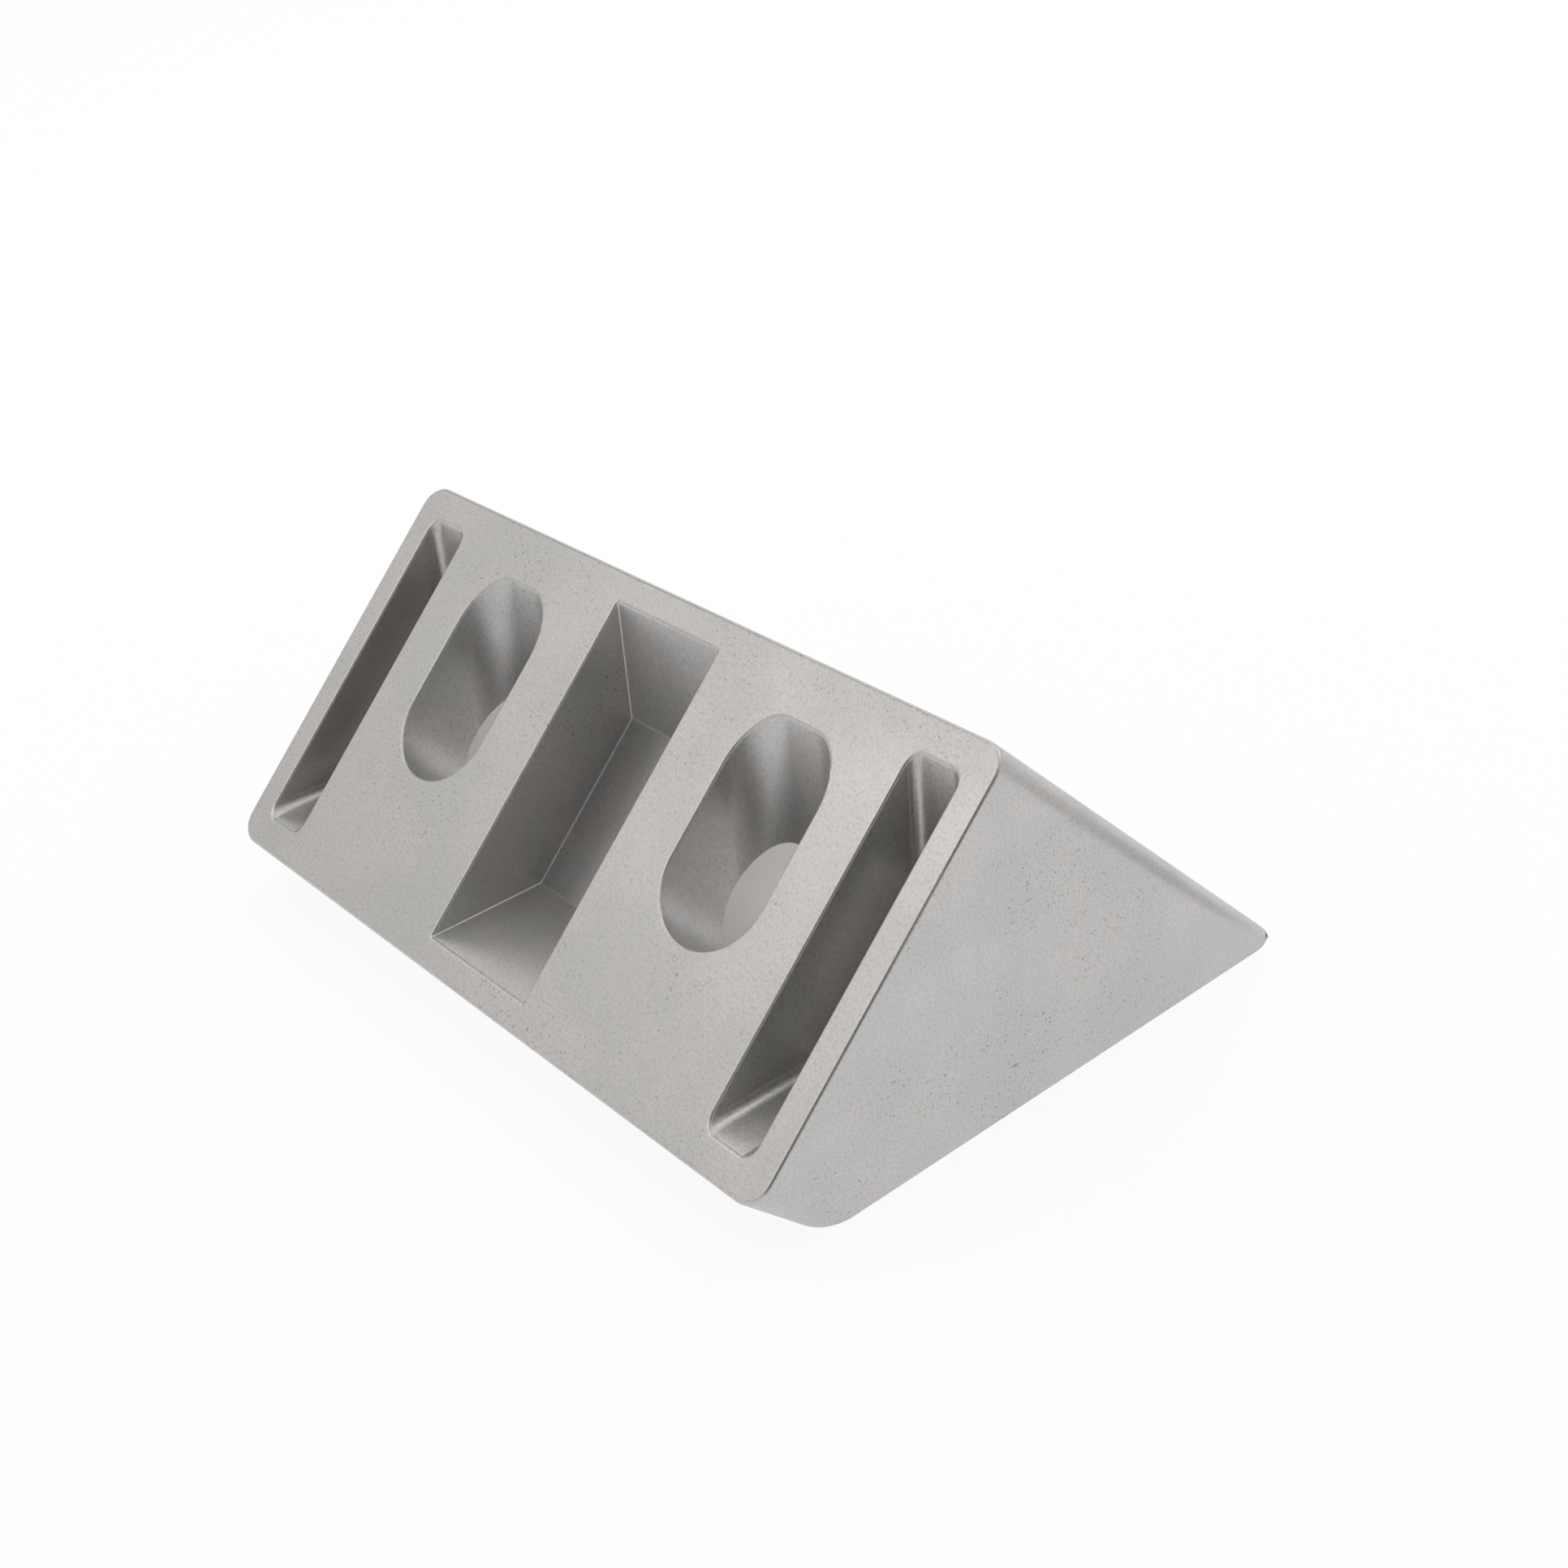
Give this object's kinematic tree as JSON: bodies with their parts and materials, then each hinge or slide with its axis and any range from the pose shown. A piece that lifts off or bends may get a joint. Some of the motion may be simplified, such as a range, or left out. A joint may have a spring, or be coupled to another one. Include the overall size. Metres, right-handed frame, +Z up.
{
  "type": "angle connector",
  "caption": "Die-cast wedge that joins the sawn end of a rectangular slotted profile to another profile's side at 45 degrees, with screw slots and casting pockets.",
  "frame": {"origin": "centre of the bounding box, on the slanted base that the part stands on", "axes": "+Z up from the base, X along the ridge, and the front face that meets the profile's end faces -Y and up at 45 degrees"},
  "size_m": [0.09, 0.0704, 0.0386],
  "materials": {
    "cast_aluminium": "satin, as cast"
  },
  "bodies": {
    "root": {"connector_body": "cast_aluminium"}
  },
  "joints": []
}
